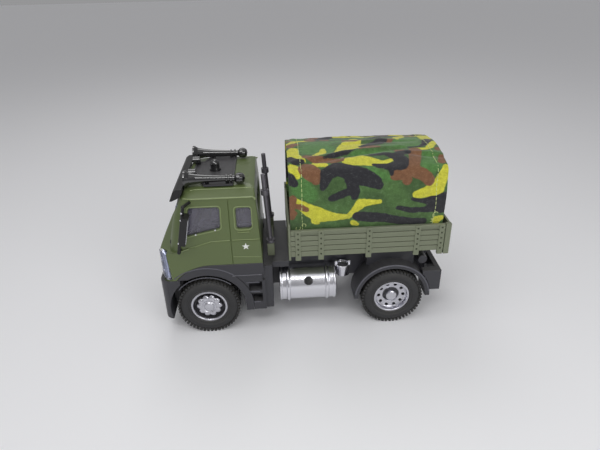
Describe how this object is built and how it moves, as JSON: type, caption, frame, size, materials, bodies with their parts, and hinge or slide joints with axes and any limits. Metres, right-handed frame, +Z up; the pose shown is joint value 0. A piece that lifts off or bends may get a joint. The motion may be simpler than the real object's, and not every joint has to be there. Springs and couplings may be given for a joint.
{
  "type": "toy military cargo truck",
  "caption": "Toy army lorry with a hollow die-cast cab, slatted cargo bed and camouflage cloth cover over hoops, rolling freely on two steel axles.",
  "frame": {"origin": "on the ground at the middle of the truck's overall length and width", "axes": "+X forward, +Y to the truck's left, +Z up"},
  "size_m": [0.153, 0.0722, 0.0962],
  "materials": {
    "cab_paint": "satin olive enamel on die-cast metal",
    "black_plastic": "satin black moulding",
    "gloss_black": "glossy black moulding",
    "olive_plastic": "satin grey-olive moulding",
    "interior_grey": "matt dark grey moulding",
    "clear_glazing": "clear moulded insert",
    "lamp_clear": "clear lens over silver",
    "lamp_red": "translucent red",
    "silver_plating": "bright vacuum plating",
    "tyre_rubber": "matt black rubber",
    "axle_steel": "turned steel",
    "camo_cloth": "printed woven cotton in four camouflage colours"
  },
  "bodies": {
    "truck": {"cab_shell": "cab_paint", "chassis_base": "black_plastic", "front_bumper": "black_plastic", "front_arch_left": "black_plastic", "front_arch_right": "black_plastic", "cab_step_left": "black_plastic", "cab_step_right": "black_plastic", "rear_arch_left": "black_plastic", "rear_arch_right": "black_plastic", "rear_crossbar": "black_plastic", "air_tank": "black_plastic", "grille": "black_plastic", "roof_platform": "black_plastic", "sun_visor": "gloss_black", "roof_horn_left": "gloss_black", "roof_horn_right": "gloss_black", "roof_beacon": "gloss_black", "roof_lamps": "gloss_black", "mirror_left": "gloss_black", "mirror_right": "gloss_black", "exhaust_stack_left": "gloss_black", "exhaust_stack_right": "gloss_black", "stack_base": "olive_plastic", "bed_deck": "olive_plastic", "side_board_left": "olive_plastic", "side_board_right": "olive_plastic", "headboard": "olive_plastic", "tailgate": "olive_plastic", "canopy_frame": "olive_plastic", "cab_interior": "interior_grey", "steering_wheel": "interior_grey", "cab_glazing": "clear_glazing", "headlight_left": "lamp_clear", "headlight_right": "lamp_clear", "tail_lamps": "lamp_red", "fuel_tank_left": "silver_plating", "fuel_tank_right": "silver_plating", "air_cup_left": "silver_plating", "air_cup_right": "silver_plating", "canopy_cover": "camo_cloth"},
    "front_wheels": {"front_axle": "axle_steel", "front_tyre_left": "tyre_rubber", "front_tyre_right": "tyre_rubber", "front_rim_left": "silver_plating", "front_rim_right": "silver_plating"},
    "rear_wheels": {"rear_axle": "axle_steel", "rear_tyre_left": "tyre_rubber", "rear_tyre_right": "tyre_rubber", "rear_rim_left": "silver_plating", "rear_rim_right": "silver_plating"}
  },
  "joints": [
    {"name": "front_wheel_spin", "type": "hinge", "parent": "truck", "child": "front_wheels", "pos_m": [0.0515, 0, 0.0167], "axis": [0, 1, 0], "continuous": true},
    {"name": "rear_wheel_spin", "type": "hinge", "parent": "truck", "child": "rear_wheels", "pos_m": [-0.0485, 0, 0.0167], "axis": [0, 1, 0], "continuous": true}
  ]
}
